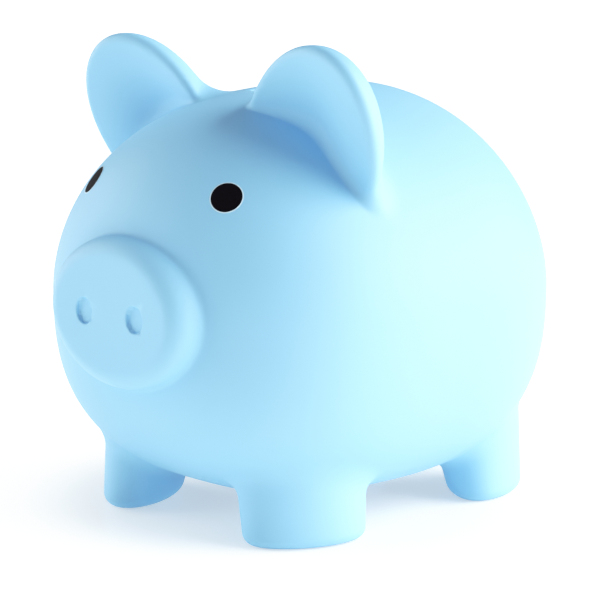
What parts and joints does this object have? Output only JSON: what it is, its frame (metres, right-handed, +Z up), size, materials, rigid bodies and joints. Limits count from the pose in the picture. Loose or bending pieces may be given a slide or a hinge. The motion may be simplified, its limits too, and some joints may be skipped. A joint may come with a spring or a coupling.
{
  "type": "piggy bank",
  "caption": "Hollow soft-vinyl piggy bank on stubby legs, with a coin slot along its back and a pull-out stopper in its belly.",
  "frame": {"origin": "on the floor under the middle of the pig's length and width", "axes": "+Z up; the pig looks along -Y; +X is the pig's own left side"},
  "size_m": [0.1327, 0.152, 0.1441],
  "materials": {
    "soft_vinyl": "soft matte light blue",
    "stopper_vinyl": "soft matte light blue",
    "eye_ink": "satin black print"
  },
  "bodies": {
    "pig": {"body_shell": "soft_vinyl", "eye_print_left": "eye_ink", "eye_print_right": "eye_ink"},
    "stopper": {"belly_stopper": "stopper_vinyl"}
  },
  "joints": [
    {"name": "stopper_pull", "type": "slide", "parent": "pig", "child": "stopper", "axis": [0, 0, -1], "range_m": [0, 0.05]}
  ]
}
